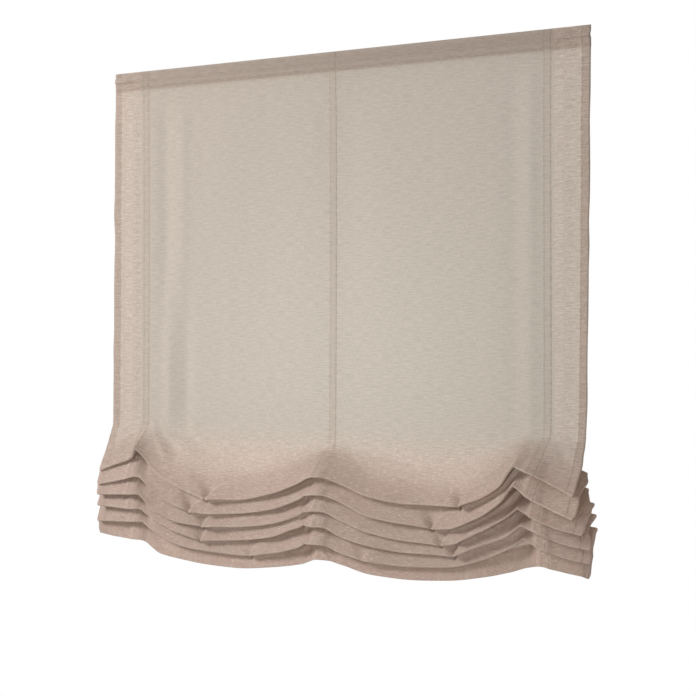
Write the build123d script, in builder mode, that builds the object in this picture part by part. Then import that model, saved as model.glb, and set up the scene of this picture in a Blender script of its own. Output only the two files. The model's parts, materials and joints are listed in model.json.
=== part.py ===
from build123d import *
from math import atan2, degrees, pi, sqrt
import os

# A soft roman blind, partly raised: one cloth that swags between three sewn tapes, hung by hook and
# loop on an aluminium head rail, with a chain drive, three cord spools and three lift cords.
# Millimetres. X runs to the right along the rail, -Y points to the front of the cloth, +Z is up.
# The brackets' mounting face is the plane Y = 0, and Z = 0 is the middle of their screws.

# Cloth
cloth_width = 1350.0
cloth_thickness = 0.6
header_hem = 48.0
side_hem = 20.0
bottom_hem = 25.0
front_turn = 5.0  # radius of a fold's lower edge
back_turn = 4.0  # radius of a fold's upper edge, at the ring
leave_turn = 40.0  # radius of the bend where the hanging cloth starts to come forward
turn_steps = 3  # straight steps in each bend

# Tapes, rings and cords
tape_inset = 101.0  # from a side edge of the cloth to the middle of its tape
tape_width = 20.0
tape_thickness = 0.5
ring_radius = 6.0
ring_section = 1.8
cord_radius = 0.7
stop_radius = 3.0
stop_length = 12.0
sewn_gap = 0.15  # between pieces that are sewn or pressed on each other
soft_gap = 0.3  # between a cord and a piece that turns
cord_steps = 8  # flat sides of a cord
round_steps = 12  # flat sides of other small round pieces

# Head rail
rail_depth = 34.0
rail_height = 30.0
rail_wall = 1.3
rail_lip = 6.0
rail_rib = 0.8
end_inset = 25.0  # from the side edge of the cloth to the end of the rail
wall_gap = 20.0
plug_gap = 0.15
plug_length = 12.0
cap_thickness = 2.5
hook_width = 20.0
hook_thickness = 1.0
hook_gap = 0.2
loop_inset = 4.0  # from a side hem to the end of the loop tape

# Shaft and spools
shaft_flats = 6.0
shaft_gap = 0.08
spool_length = 48.0
core_radius = 7.0
flange_radius = 9.5
flange_thickness = 1.5
journal_radius = 5.0
journal_length = 4.0
bearing_gap = 0.1
wound_width = 20.0
wound_thickness = 1.0
cradle_wall = 3.0
cradle_floor = 2.0
cradle_gap = 0.7
nozzle_radius = 4.0
nozzle_bore = 2.2
nozzle_length = 3.0

# Chain drive
drive_length = 18.0
drive_height = 40.0
drive_wall = 1.5
cover_thickness = 2.2
wheel_radius = 14.0
wheel_width = 9.0
chain_pockets = 13
chain_ball = 4.5
chain_pitch = 6.1
hub_radius = 6.5
stud_radius = 5.0
chain_slot = 5.6
drive_screw_radius = 1.2
drive_screw_head = 2.4

# Brackets
bracket_spacing = 960.0
bracket_width = 24.0
bracket_thickness = 2.0
bracket_leg = 36.0
wall_screw_radius = 2.6
wall_screw_spacing = 14.0
clip_width = 18.0
clip_thickness = 1.6
clip_grip = 3.0
clip_neck = 12.0
clip_screw_radius = 2.0
clip_screw_head = 3.6
header_stand = 3.0  # the cloth's top edge above the brackets

# The drape. Each row is one fold, from the top one to the bottom edge of the cloth, and gives its
# drop below the top edge, or its reach in front of the hanging cloth, at the left side, the left
# tape, the centre tape, the right tape and the right side.
fold_drops = (
    (1003.0, 957.0, 995.0, 969.0, 1009.0),
    (1036.0, 1018.0, 1037.0, 1021.0, 1058.0),
    (1064.0, 1060.0, 1075.0, 1066.0, 1097.0),
    (1093.0, 1096.0, 1111.0, 1099.0, 1129.0),
    (1129.0, 1129.0, 1152.0, 1134.0, 1161.0),
    (1158.0, 1172.0, 1187.0, 1173.0, 1193.0),
)
fold_reaches = (
    (47.0, 52.0, 71.0, 73.0, 77.0),
    (55.0, 62.0, 66.0, 78.0, 82.0),
    (60.0, 64.0, 64.0, 56.0, 40.0),
    (55.0, 57.0, 66.0, 40.0, 20.0),
    (48.0, 50.0, 63.0, 28.0, 8.0),
    (46.0, 38.0, 49.0, 10.0, -12.0),
)
# How far each fold swags between the tapes, in the left and the right bay, and how far it stands
# out in the middle of a bay.
fold_swags = ((88.0, 68.0), (70.0, 64.0), (60.0, 64.0), (57.0, 54.0), (50.0, 46.0), (43.0, 37.0))
bay_reaches = (42.0, 44.0, 44.0, 42.0, 40.0, 36.0)
# The upper, back edge of each fold: how far behind the hanging cloth, and how far above the fold
# that follows.
back_reaches = (
    (9.0, 7.0, 7.0, 7.0, -4.0),
    (10.0, 7.0, 7.0, 7.0, 12.0),
    (11.0, 7.0, 7.0, 7.0, 22.0),
    (11.0, 7.0, 7.0, 7.0, 29.0),
    (11.0, 7.0, 7.0, 7.0, 33.0),
)
back_rises = (98.0, 100.0, 100.0, 106.0, 110.0)
bay_back_reach = 18.0
leave_drops = (880.0, 872.0, 906.0, 872.0, 888.0)
leave_swag = 65.0
side_swag_power = 0.8
centre_swag_power = 1.4
bay_stations = 6

# Places that follow from the sizes
half_width = cloth_width / 2
tape_places = (tape_inset - half_width, 0.0, half_width - tape_inset)
tape_band = tape_width / 2 + 1.0
rail_front = -wall_gap - rail_depth
rail_middle = -wall_gap - rail_depth / 2
rail_top = rail_height / 2
rail_floor = -rail_height / 2 + rail_wall
left_end = end_inset - half_width
right_end = half_width - end_inset
rail_right = right_end - drive_length
loop_front = rail_front - 2 * hook_thickness - hook_gap
cloth_place = loop_front - sewn_gap - 1.5 * cloth_thickness
cloth_top = rail_top + bracket_thickness + header_stand
shaft_height = rail_floor + cradle_floor + flange_radius + cradle_gap
wound_radius = core_radius + wound_thickness
cord_place = rail_middle - wound_radius - soft_gap - cord_radius

os.makedirs("parts", exist_ok=True)


def save(node, name):
    """Labels a finished piece and writes it."""
    node.part.label = name
    export_step(node.part, f"parts/{name}.step")


def across(x, values, swags=(0.0, 0.0)):
    """A size at x: straight between the sides and tapes, with a swag in each bay."""
    knots = [-half_width]
    for place in tape_places:
        knots += [place - tape_band, place + tape_band]
    knots.append(half_width)
    levels = [values[0], values[1], values[1], values[2], values[2], values[3], values[3], values[4]]
    span = max(index for index in range(7) if x >= knots[index])
    share = (x - knots[span]) / (knots[span + 1] - knots[span])
    level = levels[span] + (levels[span + 1] - levels[span]) * share
    if span == 2:
        power = side_swag_power + (centre_swag_power - side_swag_power) * share
        level += swags[0] * (4 * share * (1 - share)) ** power
    if span == 4:
        power = centre_swag_power + (side_swag_power - centre_swag_power) * share
        level += swags[1] * (4 * share * (1 - share)) ** power
    return level


def bay_swags(values, middle):
    """The swags that bring a size to its value in the middle of each bay."""
    return (middle - (values[1] + values[2]) / 2, middle - (values[2] + values[3]) / 2)


def turns(x):
    """The bends of the cloth's section at x, from the top: centre, radius, and 1 for a left turn."""
    leave = across(x, leave_drops, (leave_swag, leave_swag))
    bends = [(Vector(cloth_place - leave_turn, cloth_top - leave), leave_turn, -1)]
    for fold, (drops, reaches) in enumerate(zip(fold_drops, fold_reaches)):
        drop = across(x, drops, fold_swags[fold])
        reach = across(x, reaches, bay_swags(reaches, bay_reaches[fold]))
        low = cloth_top - drop
        if fold:
            behind = across(
                x, back_reaches[fold - 1], bay_swags(back_reaches[fold - 1], bay_back_reach)
            )
            high = low + across(x, back_rises)
            bends.append((Vector(cloth_place + behind - back_turn, high - back_turn), back_turn, -1))
        last = fold == len(fold_drops) - 1
        radius = 0.0 if last else front_turn
        bends.append((Vector(cloth_place - reach + radius, low + radius), radius, 1))
    return bends


def heading(bend, following):
    """The direction of the straight run from one bend to the next, which turns the other way."""
    across_run = following[0] - bend[0]
    offset = bend[1] + following[1]
    length = sqrt(across_run.length**2 - offset**2)
    angle = atan2(across_run.Y, across_run.X) + bend[2] * atan2(offset, length)
    return Vector(1, 0).rotate(Axis.Z, degrees(angle))


def draw_side(bends, top, shift, bottom_step=0.0):
    """Draws the line that runs beside the cloth's middle, shift to its left, and gives its ends."""
    here = Vector(cloth_place + shift, top)
    start = here
    way = Vector(0, -1)
    for bend, following in zip(bends, bends[1:]):
        centre, radius, turn = bend
        onward = heading(bend, following)
        left = Vector(-way.Y, way.X)
        begin = centre - left * (turn * radius - shift)
        Line(here, begin)
        swing = way.get_signed_angle(onward, Vector(0, 0, 1))
        if turn * swing < 0:
            swing += turn * 360
        for step in range(turn_steps):
            left = left.rotate(Axis.Z, swing / turn_steps)
            here = Line(begin, centre - left * (turn * radius - shift)) @ 1
            begin = here
        way = onward
    left = Vector(-way.Y, way.X)
    end = bends[-1][0] + left * shift
    if bottom_step:
        step_place = end - way * bottom_hem
        Line(here, step_place)
        here = step_place + left * bottom_step
        Line(step_place, here)
        end += left * bottom_step
    Line(here, end)
    return start, end


def draw_cloth(x, layers):
    """The outline of the cloth's section at x, with its header and bottom hem folded to the back."""
    half = cloth_thickness / 2
    back = half + (layers - 1) * cloth_thickness
    bends = turns(x)
    front_start, front_end = draw_side(bends, cloth_top, -half)
    hem_low = Vector(cloth_place + back, cloth_top - header_hem)
    hem_step = hem_low + Vector(cloth_thickness, 0)
    hem_top = Vector(hem_step.X, cloth_top)
    back_end = draw_side(bends, hem_low.Y, back, cloth_thickness)[1]
    Polyline(front_start, hem_top, hem_step, hem_low)
    Line(front_end, back_end)


def cloth_stations():
    """Where sections are drawn, with the number of layers of cloth there."""
    left, centre, right = tape_places
    hem_edge = half_width - side_hem
    places = [(-half_width, 2), (-hem_edge, 2), (0.5 - hem_edge, 1)]
    places += [(left - tape_band, 1)]
    for begin, end in ((left + tape_band, centre - tape_band), (centre + tape_band, right - tape_band)):
        places += [(begin + (end - begin) * step / bay_stations, 1) for step in range(bay_stations + 1)]
    places += [(right + tape_band, 1)]
    places += [(hem_edge - 0.5, 1), (hem_edge, 2), (half_width, 2)]
    return places


# Cloth: one sheet through many sections, thicker at its hems
with BuildPart() as fabric_panel:
    for place, layers in cloth_stations():
        with BuildSketch(Plane.YZ.offset(place)):
            with BuildLine():
                draw_cloth(place, layers)
            make_face()
    loft(ruled=True)
save(fabric_panel, "fabric_panel")

# Tapes: a narrow band sewn to the back of the cloth, through every fold
for tape_name, place in zip(("tape_left", "tape_centre", "tape_right"), tape_places):
    with BuildPart() as tape:
        with BuildSketch(Plane.YZ.offset(place - tape_width / 2)):
            with BuildLine():
                tape_bends = turns(place)
                near = cloth_thickness / 2 + sewn_gap
                tape_top = cloth_top - header_hem - sewn_gap
                bottom_centre, _, _ = tape_bends[-1]
                last_way = heading(tape_bends[-2], tape_bends[-1])
                lifted = bottom_centre - last_way * (bottom_hem + sewn_gap)
                tape_bends[-1] = (lifted, 0.0, 1)
                inner_start, inner_end = draw_side(tape_bends, tape_top, near)
                outer_start, outer_end = draw_side(tape_bends, tape_top, near + tape_thickness)
                Line(inner_start, outer_start)
                Line(inner_end, outer_end)
            make_face()
        extrude(amount=tape_width)
    save(tape, tape_name)

# Rings: sewn to the tapes at the back edge of each fold, with the lift cord through them
tape_depth = cloth_thickness / 2 + 2 * sewn_gap + tape_thickness
with BuildPart() as cord_rings:
    for place in tape_places:
        for bend in turns(place)[2::2]:
            ring_y = bend[0].X + back_turn + tape_depth + ring_radius
            with BuildSketch(Plane((place, ring_y, bend[0].Y - ring_section / 2))):
                RegularPolygon(ring_radius, round_steps)
                RegularPolygon(ring_radius - ring_section, round_steps, mode=Mode.SUBTRACT)
            extrude(amount=ring_section)
save(cord_rings, "cord_rings")

# Loop tape, sewn to the header, and hook tape, stuck in its seat on the rail
hook_length = rail_right - left_end - cap_thickness
hook_middle = (rail_right + left_end + cap_thickness) / 2
with BuildPart() as loop_tape:
    with BuildSketch(Plane.XZ.offset(-rail_front + hook_thickness + hook_gap)):
        Rectangle(cloth_width - 2 * (side_hem + loop_inset), hook_width)
    extrude(amount=hook_thickness)
save(loop_tape, "loop_tape")

with BuildPart() as hook_tape:
    with BuildSketch(Plane((hook_middle, rail_front, 0), x_dir=(1, 0, 0), z_dir=(0, -1, 0))):
        Rectangle(hook_length, hook_width)
    extrude(amount=hook_thickness)
save(hook_tape, "hook_tape")

# Head rail: an extruded channel, open at the top between two lips, with a seat for the hook tape
with BuildPart() as head_rail:
    with BuildSketch(Plane.YZ.offset(left_end + cap_thickness)):
        with Locations((rail_middle, 0)):
            Rectangle(rail_depth, rail_height)
            Rectangle(rail_depth - 2 * rail_wall, rail_height - 2 * rail_wall, mode=Mode.SUBTRACT)
        with Locations((rail_middle, rail_top)):
            Rectangle(rail_depth - 2 * (rail_wall + rail_lip), 3 * rail_wall, mode=Mode.SUBTRACT)
        rib_rise = hook_width / 2 + rail_rib
        with Locations((rail_front, rib_rise), (rail_front, -rib_rise)):
            Rectangle(2 * rail_rib, 2 * rail_rib - sewn_gap)
    extrude(amount=hook_length)
    with BuildSketch(Plane.XY.offset(rail_floor - 2 * rail_wall)):
        with Locations(*[(place, cord_place) for place in tape_places]):
            RegularPolygon(nozzle_radius + plug_gap, round_steps)
    extrude(amount=3 * rail_wall, mode=Mode.SUBTRACT)
save(head_rail, "head_rail")

# End cap: a plate with a plug in the rail and a blind bore for the shaft's end
shaft_corner = shaft_flats / sqrt(3)
shaft_start = left_end + cap_thickness + plug_length / 3
with BuildPart() as end_cap:
    with BuildSketch(Plane.YZ.offset(left_end)):
        with Locations((rail_middle, 0)):
            RectangleRounded(rail_depth, rail_height, 2 * rail_wall)
    extrude(amount=cap_thickness)
    with BuildSketch(Plane.YZ.offset(left_end + cap_thickness)):
        with Locations((rail_middle, 0)):
            Rectangle(
                rail_depth - 2 * (rail_wall + plug_gap), rail_height - 2 * (rail_wall + plug_gap)
            )
    extrude(amount=plug_length)
    with BuildSketch(Plane.YZ.offset(shaft_start - plug_gap)):
        with Locations((rail_middle, shaft_height)):
            RegularPolygon(shaft_corner + bearing_gap, round_steps, major_radius=False)
    extrude(amount=plug_length, mode=Mode.SUBTRACT)
save(end_cap, "end_cap")

# Shaft: a hexagonal bar through the spools into the chain wheel
wheel_start = rail_right + 2 * drive_wall
shaft_end = wheel_start + wheel_width / 3
with BuildPart() as drive_shaft:
    with BuildSketch(Plane.YZ.offset(shaft_start)):
        with Locations((rail_middle, shaft_height)):
            RegularPolygon(shaft_flats / 2, 6, major_radius=False)
    extrude(amount=shaft_end - shaft_start)
save(drive_shaft, "drive_shaft")

# Spools: a core between two flanges with sloping shoulders, a journal at each end, a hexagonal bore
half_spool = spool_length / 2
journal_end = half_spool + journal_length
shoulder = flange_radius - core_radius
flange_face = half_spool - flange_thickness
with BuildPart() as cord_spools:
    for place in tape_places:
        with BuildSketch(Plane.YZ.offset(place - journal_end)):
            with Locations((rail_middle, shaft_height)):
                RegularPolygon(journal_radius, round_steps)
        extrude(amount=2 * journal_end)
        with BuildSketch(Plane.YZ.offset(place - flange_face)):
            with Locations((rail_middle, shaft_height)):
                RegularPolygon(core_radius, round_steps)
        extrude(amount=2 * flange_face)
        for way in (-1, 1):
            with BuildSketch(Plane.YZ.offset(place + way * flange_face)):
                with Locations((rail_middle, shaft_height)):
                    RegularPolygon(flange_radius, round_steps)
            extrude(amount=way * flange_thickness)
            for reach, radius in ((flange_face, flange_radius), (flange_face - shoulder, core_radius)):
                with BuildSketch(Plane.YZ.offset(place + way * reach)):
                    with Locations((rail_middle, shaft_height)):
                        RegularPolygon(radius, round_steps)
            loft(ruled=True)
        with BuildSketch(Plane.YZ.offset(place - journal_end)):
            with Locations((rail_middle, shaft_height)):
                RegularPolygon(shaft_flats / 2 + shaft_gap, 6, major_radius=False)
        extrude(amount=2 * journal_end, mode=Mode.SUBTRACT)
save(cord_spools, "cord_spools")

# Wound cord: the turns that lie on each spool while the blind is partly raised
with BuildPart() as wound_cord:
    for place in tape_places:
        with BuildSketch(Plane.YZ.offset(place - wound_width / 2)):
            with Locations((rail_middle, shaft_height)):
                RegularPolygon(wound_radius, round_steps)
                RegularPolygon(core_radius + shaft_gap, round_steps, mode=Mode.SUBTRACT)
        extrude(amount=wound_width)
save(wound_cord, "wound_cord")

# Cradles: a floor plate with two open bearings and a nozzle that leads the cord out of the rail
cradle_length = 2 * (half_spool + cradle_gap + cradle_wall)
cradle_width = rail_depth - 2 * (rail_wall + plug_gap)
bearing_top = shaft_height + journal_radius + 2 * cradle_gap
with BuildPart() as spool_cradles:
    for place in tape_places:
        with BuildSketch(Plane.XY.offset(rail_floor)):
            with Locations((place, rail_middle)):
                Rectangle(cradle_length, cradle_width)
        extrude(amount=cradle_floor)
        for wall_place in (place - cradle_length / 2, place + cradle_length / 2 - cradle_wall):
            with BuildSketch(Plane.YZ.offset(wall_place)):
                with BuildLine():
                    Polyline(
                        (rail_middle - cradle_width / 2, rail_floor),
                        (rail_middle + cradle_width / 2, rail_floor),
                        (rail_middle + cradle_width / 3, bearing_top),
                        (rail_middle - cradle_width / 3, bearing_top),
                        close=True,
                    )
                make_face()
                with Locations((rail_middle, shaft_height)):
                    RegularPolygon(
                        journal_radius + bearing_gap, 2 * round_steps, major_radius=False, mode=Mode.SUBTRACT
                    )
                with Locations((rail_middle, bearing_top)):
                    Rectangle(
                        2 * journal_radius - cradle_gap,
                        2 * (bearing_top - shaft_height),
                        mode=Mode.SUBTRACT,
                    )
            extrude(amount=cradle_wall)
        nozzle_low = rail_floor - rail_wall - nozzle_length
        with BuildSketch(Plane.XY.offset(nozzle_low)):
            with Locations((place, cord_place)):
                RegularPolygon(nozzle_radius, round_steps)
        extrude(amount=rail_floor - nozzle_low)
        with BuildSketch(Plane.XY.offset(nozzle_low)):
            with Locations((place, cord_place)):
                RegularPolygon(nozzle_bore, round_steps)
        extrude(amount=2 * rail_height, mode=Mode.SUBTRACT)
save(spool_cradles, "spool_cradles")

# Lift cords: straight down from the spool, through the nozzle and the rings, to a stop
stop_places = [turns(place)[-2][0].Y - ring_section / 2 - sewn_gap - stop_length for place in tape_places]
for side, place, stop_low in zip(("left", "centre", "right"), tape_places, stop_places):
    with BuildPart() as lift_cord:
        with BuildSketch(Plane((place, cord_place, stop_low - stop_radius))):
            RegularPolygon(cord_radius, cord_steps)
        extrude(amount=shaft_height - stop_low + stop_radius)
    save(lift_cord, f"lift_cord_{side}")

with BuildPart() as cord_stops:
    for place, stop_low in zip(tape_places, stop_places):
        with BuildSketch(Plane((place, cord_place, stop_low))):
            RegularPolygon(stop_radius, round_steps)
            RegularPolygon(cord_radius + shaft_gap, round_steps, major_radius=False, mode=Mode.SUBTRACT)
        extrude(amount=stop_length)
save(cord_stops, "cord_stops")

# Chain drive housing: a box that is open at its outer side, with a plug in the rail, a bearing for
# the wheel's hub and two slots in its floor for the chain
drive_top = rail_top
drive_low = drive_top - drive_height
drive_middle = (drive_top + drive_low) / 2
pitch_radius = chain_pockets * chain_pitch / (2 * pi)
cover_start = right_end - cover_thickness
wheel_middle = wheel_start + wheel_width / 2
screw_inset = drive_wall / 2 + drive_screw_head
screw_corner = rail_depth / 2 - screw_inset
screw_height = drive_top - screw_inset
screw_places = [(rail_middle + screw_corner, screw_height), (rail_middle - screw_corner, screw_height)]
with BuildPart() as drive_housing:
    with BuildSketch(Plane.YZ.offset(rail_right)):
        with Locations((rail_middle, drive_middle)):
            RectangleRounded(rail_depth, drive_height, 2 * drive_wall)
    extrude(amount=cover_start - rail_right)
    with BuildSketch(Plane.YZ.offset(rail_right + drive_wall)):
        with Locations((rail_middle, drive_middle)):
            Rectangle(rail_depth - 2 * drive_wall, drive_height - 2 * drive_wall)
    extrude(amount=drive_length, mode=Mode.SUBTRACT)
    with BuildSketch(Plane.YZ.offset(rail_right + drive_wall)):
        with Locations(*screw_places):
            RegularPolygon(drive_screw_head, round_steps)
    extrude(amount=cover_start - rail_right - drive_wall)
    with BuildSketch(Plane.YZ.offset(rail_right - plug_length)):
        with Locations((rail_middle, 0)):
            Rectangle(cradle_width, rail_height - 2 * (rail_wall + plug_gap))
            Rectangle(
                cradle_width - 2 * drive_wall, rail_height - 2 * (rail_wall + plug_gap + drive_wall),
                mode=Mode.SUBTRACT,
            )
    extrude(amount=plug_length)
    with BuildSketch(Plane.YZ.offset(rail_right - drive_wall)):
        with Locations((rail_middle, shaft_height)):
            RegularPolygon(hub_radius + bearing_gap, 2 * round_steps, major_radius=False)
    extrude(amount=3 * drive_wall, mode=Mode.SUBTRACT)
    with BuildSketch(Plane.XY.offset(drive_low - drive_wall)):
        with Locations((wheel_middle, rail_middle)):
            with GridLocations(0, 2 * pitch_radius, 1, 2):
                Rectangle(chain_slot, chain_slot)
    extrude(amount=3 * drive_wall, mode=Mode.SUBTRACT)
    with BuildSketch(Plane.YZ.offset(cover_start - plug_length)):
        with Locations(*screw_places):
            RegularPolygon(drive_screw_radius + shaft_gap, round_steps)
    extrude(amount=2 * plug_length, mode=Mode.SUBTRACT)
save(drive_housing, "drive_housing")

# Chain wheel: a ring of pockets for the chain's balls, a hub that takes the shaft, and a bore for
# the cover's stud
with BuildPart() as chain_wheel:
    with BuildSketch(Plane.YZ.offset(wheel_start)):
        with Locations((rail_middle, shaft_height)):
            RegularPolygon(wheel_radius, 2 * chain_pockets)
    extrude(amount=wheel_width)
    with BuildSketch(Plane.YZ.offset(wheel_start + (wheel_width - chain_ball) / 2)):
        with Locations((rail_middle, shaft_height)):
            RegularPolygon(wheel_radius + 1, 2 * chain_pockets)
            RegularPolygon(pitch_radius, chain_pockets, mode=Mode.SUBTRACT)
            with PolarLocations(pitch_radius, chain_pockets):
                RegularPolygon(chain_ball / 2, 6)
    extrude(amount=chain_ball, mode=Mode.SUBTRACT)
    with BuildSketch(Plane.YZ.offset(rail_right - drive_wall)):
        with Locations((rail_middle, shaft_height)):
            RegularPolygon(hub_radius, 2 * round_steps)
    extrude(amount=wheel_start - rail_right + drive_wall)
    with BuildSketch(Plane.YZ.offset(rail_right - 2 * drive_wall)):
        with Locations((rail_middle, shaft_height)):
            RegularPolygon(shaft_flats / 2 + shaft_gap, 6, major_radius=False)
    extrude(amount=shaft_end - rail_right + 3 * drive_wall, mode=Mode.SUBTRACT)
    with BuildSketch(Plane.YZ.offset(shaft_end + drive_wall)):
        with Locations((rail_middle, shaft_height)):
            RegularPolygon(stud_radius + bearing_gap, 2 * round_steps, major_radius=False)
    extrude(amount=wheel_width, mode=Mode.SUBTRACT)
save(chain_wheel, "chain_wheel")

# Cover: closes the housing and carries the fixed stud that the wheel turns on
stud_end = shaft_end + drive_wall + soft_gap
with BuildPart() as drive_cover:
    with BuildSketch(Plane.YZ.offset(cover_start)):
        with Locations((rail_middle, drive_middle)):
            RectangleRounded(rail_depth, drive_height, 2 * drive_wall)
    extrude(amount=cover_thickness)
    with BuildSketch(Plane.YZ.offset(stud_end)):
        with Locations((rail_middle, shaft_height)):
            RegularPolygon(stud_radius, 2 * round_steps)
    extrude(amount=cover_start - stud_end)
    with BuildSketch(Plane.YZ.offset(cover_start)):
        with Locations(*screw_places):
            RegularPolygon(drive_screw_radius + shaft_gap, round_steps)
    extrude(amount=cover_thickness, mode=Mode.SUBTRACT)
save(drive_cover, "drive_cover")

with BuildPart() as drive_screws:
    with BuildSketch(Plane.YZ.offset(cover_start - plug_length / 2)):
        with Locations(*screw_places):
            RegularPolygon(drive_screw_radius, round_steps)
    extrude(amount=plug_length / 2 + cover_thickness)
    with BuildSketch(Plane.YZ.offset(right_end)):
        with Locations(*screw_places):
            RegularPolygon(drive_screw_head, round_steps)
    extrude(amount=drive_screw_radius)
save(drive_screws, "drive_screws")

# Brackets: an angle with two wall screws' holes, over the rail, with a clip that grips its lips
bracket_places = (-bracket_spacing / 2, 0.0, bracket_spacing / 2)
leg_low = rail_top - bracket_leg
with BuildPart() as wall_brackets:
    for place in bracket_places:
        with BuildSketch(Plane.YZ.offset(place - bracket_width / 2)):
            with BuildLine():
                Polyline(
                    (0, leg_low),
                    (0, rail_top + bracket_thickness),
                    (rail_front + 2 * rail_wall, rail_top + bracket_thickness),
                    (rail_front + 2 * rail_wall, rail_top),
                    (-bracket_thickness, rail_top),
                    (-bracket_thickness, leg_low),
                    close=True,
                )
            make_face()
        extrude(amount=bracket_width)
        lengthwise = wall_brackets.edges().filter_by(Axis.X)
        chamfer(lengthwise.sort_by_distance((place, 0, rail_top + bracket_thickness))[0], length=rail_wall)
        with BuildSketch(Plane((place, 0, 0), x_dir=(1, 0, 0), z_dir=(0, -1, 0))):
            with GridLocations(0, wall_screw_spacing, 1, 2):
                Circle(wall_screw_radius)
        extrude(amount=bracket_thickness, mode=Mode.SUBTRACT)
        with BuildSketch(Plane((place, rail_middle, rail_top))):
            RegularPolygon(clip_screw_radius + bearing_gap, round_steps)
        extrude(amount=bracket_thickness, mode=Mode.SUBTRACT)
save(wall_brackets, "wall_brackets")

slot_width = rail_depth - 2 * (rail_wall + rail_lip)
clip_top = rail_top - rail_wall
with BuildPart() as rail_clips:
    for place in bracket_places:
        with BuildSketch(Plane((place, rail_middle, clip_top - clip_thickness))):
            Rectangle(clip_width, slot_width + 2 * clip_grip)
        extrude(amount=clip_thickness)
        with BuildSketch(Plane((place, rail_middle, clip_top))):
            Rectangle(clip_neck, clip_neck)
        extrude(amount=rail_wall)
        with BuildSketch(Plane((place, rail_middle, clip_top - clip_thickness))):
            RegularPolygon(clip_screw_radius + shaft_gap, round_steps)
        extrude(amount=2 * clip_thickness, mode=Mode.SUBTRACT)
save(rail_clips, "rail_clips")

with BuildPart() as clip_screws:
    for place in bracket_places:
        with BuildSketch(Plane((place, rail_middle, clip_top - clip_thickness))):
            RegularPolygon(clip_screw_radius, round_steps)
        extrude(amount=rail_wall + clip_thickness + bracket_thickness)
        with BuildSketch(Plane((place, rail_middle, rail_top + bracket_thickness))):
            RegularPolygon(clip_screw_head, 6)
        extrude(amount=clip_screw_radius)
save(clip_screws, "clip_screws")
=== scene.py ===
"""A soft roman blind, partly raised: swagged linen with sewn tapes, hung by a slim head rail.

The sizes in the tables are millimetres. Everything else is in metres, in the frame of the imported
model: +X to the right along the rail, -Y into the room, +Z up.
"""

import json
import math

import bmesh
import bpy
import numpy as np
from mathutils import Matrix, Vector, noise


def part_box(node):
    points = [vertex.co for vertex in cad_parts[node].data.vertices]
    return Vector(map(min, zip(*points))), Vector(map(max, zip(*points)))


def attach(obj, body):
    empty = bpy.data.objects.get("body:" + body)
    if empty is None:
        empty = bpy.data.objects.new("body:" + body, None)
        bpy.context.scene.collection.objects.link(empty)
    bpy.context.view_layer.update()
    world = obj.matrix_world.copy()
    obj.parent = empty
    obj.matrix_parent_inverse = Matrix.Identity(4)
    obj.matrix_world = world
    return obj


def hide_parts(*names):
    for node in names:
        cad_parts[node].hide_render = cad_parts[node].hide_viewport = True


bl_info = {
    "name": "Roman Blind",
    "version": (1, 0, 0),
    "blender": (4, 5, 0),
    "location": "View3D > Sidebar > Roman Blind",
    "description": "Dresses a partly raised roman blind: cloth, tapes, rings, cords and rail",
    "category": "Object",
}

MM = 0.001
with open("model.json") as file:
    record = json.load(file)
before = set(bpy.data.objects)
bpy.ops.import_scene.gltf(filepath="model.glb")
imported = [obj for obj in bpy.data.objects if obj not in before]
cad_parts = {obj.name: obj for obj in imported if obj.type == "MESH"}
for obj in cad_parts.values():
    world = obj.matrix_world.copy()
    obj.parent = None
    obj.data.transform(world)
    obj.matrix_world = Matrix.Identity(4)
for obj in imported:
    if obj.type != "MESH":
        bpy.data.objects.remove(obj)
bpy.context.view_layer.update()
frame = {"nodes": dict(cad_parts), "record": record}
CLOTH_LOW, CLOTH_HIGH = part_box("fabric_panel")
HALF_WIDTH = (CLOTH_HIGH[0] - CLOTH_LOW[0]) / 2
CLOTH_TOP = CLOTH_HIGH[2]
LAYER = 0.6 * MM  # from the middle of one layer of cloth to the next
SEWING_GAP = 0.15 * MM
# The cloth's middle lies one and a half layers and a sewing gap in front of the loop tape.
CLOTH_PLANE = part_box("loop_tape")[0][1] - 1.5 * LAYER - SEWING_GAP
TAPES = {"left": -0.574, "centre": 0.0, "right": 0.574}
TAPE_HALF = 10 * MM
TAPE_BEHIND = 0.7 * MM  # from the middle of the cloth to the middle of a tape
TAPE_CLEAR = 1 * MM  # from the lower end of a tape to the bottom hem

# The drape, in millimetres. The lower edge of each fold, as its drop below the top of the cloth, at
# places across the cloth: the sides, both edges of each tape, and the bays between them.
PLACES = (
    -675, -630, -585, -563, -500, -430, -350, -260, -140, -60, -11,
    11, 60, 140, 240, 340, 430, 490, 530, 563, 585, 625, 675,
)
FOLD_DROPS = (
    (1005, 988, 974, 968, 1006, 1038, 1059, 1060, 1040, 1014, 995,
     995, 1007, 1035, 1048, 1047, 1029, 998, 960, 965, 973, 992, 1012),
    (1039, 1030, 1020, 1016, 1051, 1083, 1097, 1093, 1077, 1052, 1037,
     1037, 1050, 1081, 1094, 1098, 1071, 1036, 1003, 1016, 1026, 1044, 1061),
    (1064, 1062, 1060, 1060, 1095, 1121, 1127, 1125, 1111, 1089, 1075,
     1075, 1092, 1118, 1132, 1134, 1102, 1072, 1054, 1062, 1070, 1086, 1097),
    (1092, 1094, 1096, 1096, 1123, 1147, 1161, 1157, 1142, 1117, 1111,
     1111, 1130, 1148, 1158, 1158, 1132, 1110, 1090, 1095, 1103, 1119, 1129),
    (1132, 1130, 1129, 1129, 1154, 1179, 1188, 1192, 1181, 1163, 1152,
     1152, 1167, 1183, 1189, 1185, 1163, 1138, 1121, 1131, 1137, 1150, 1160),
    (1160, 1168, 1172, 1172, 1203, 1212, 1220, 1223, 1213, 1201, 1187,
     1187, 1196, 1213, 1218, 1214, 1201, 1187, 1175, 1171, 1175, 1184, 1193),
)
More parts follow.
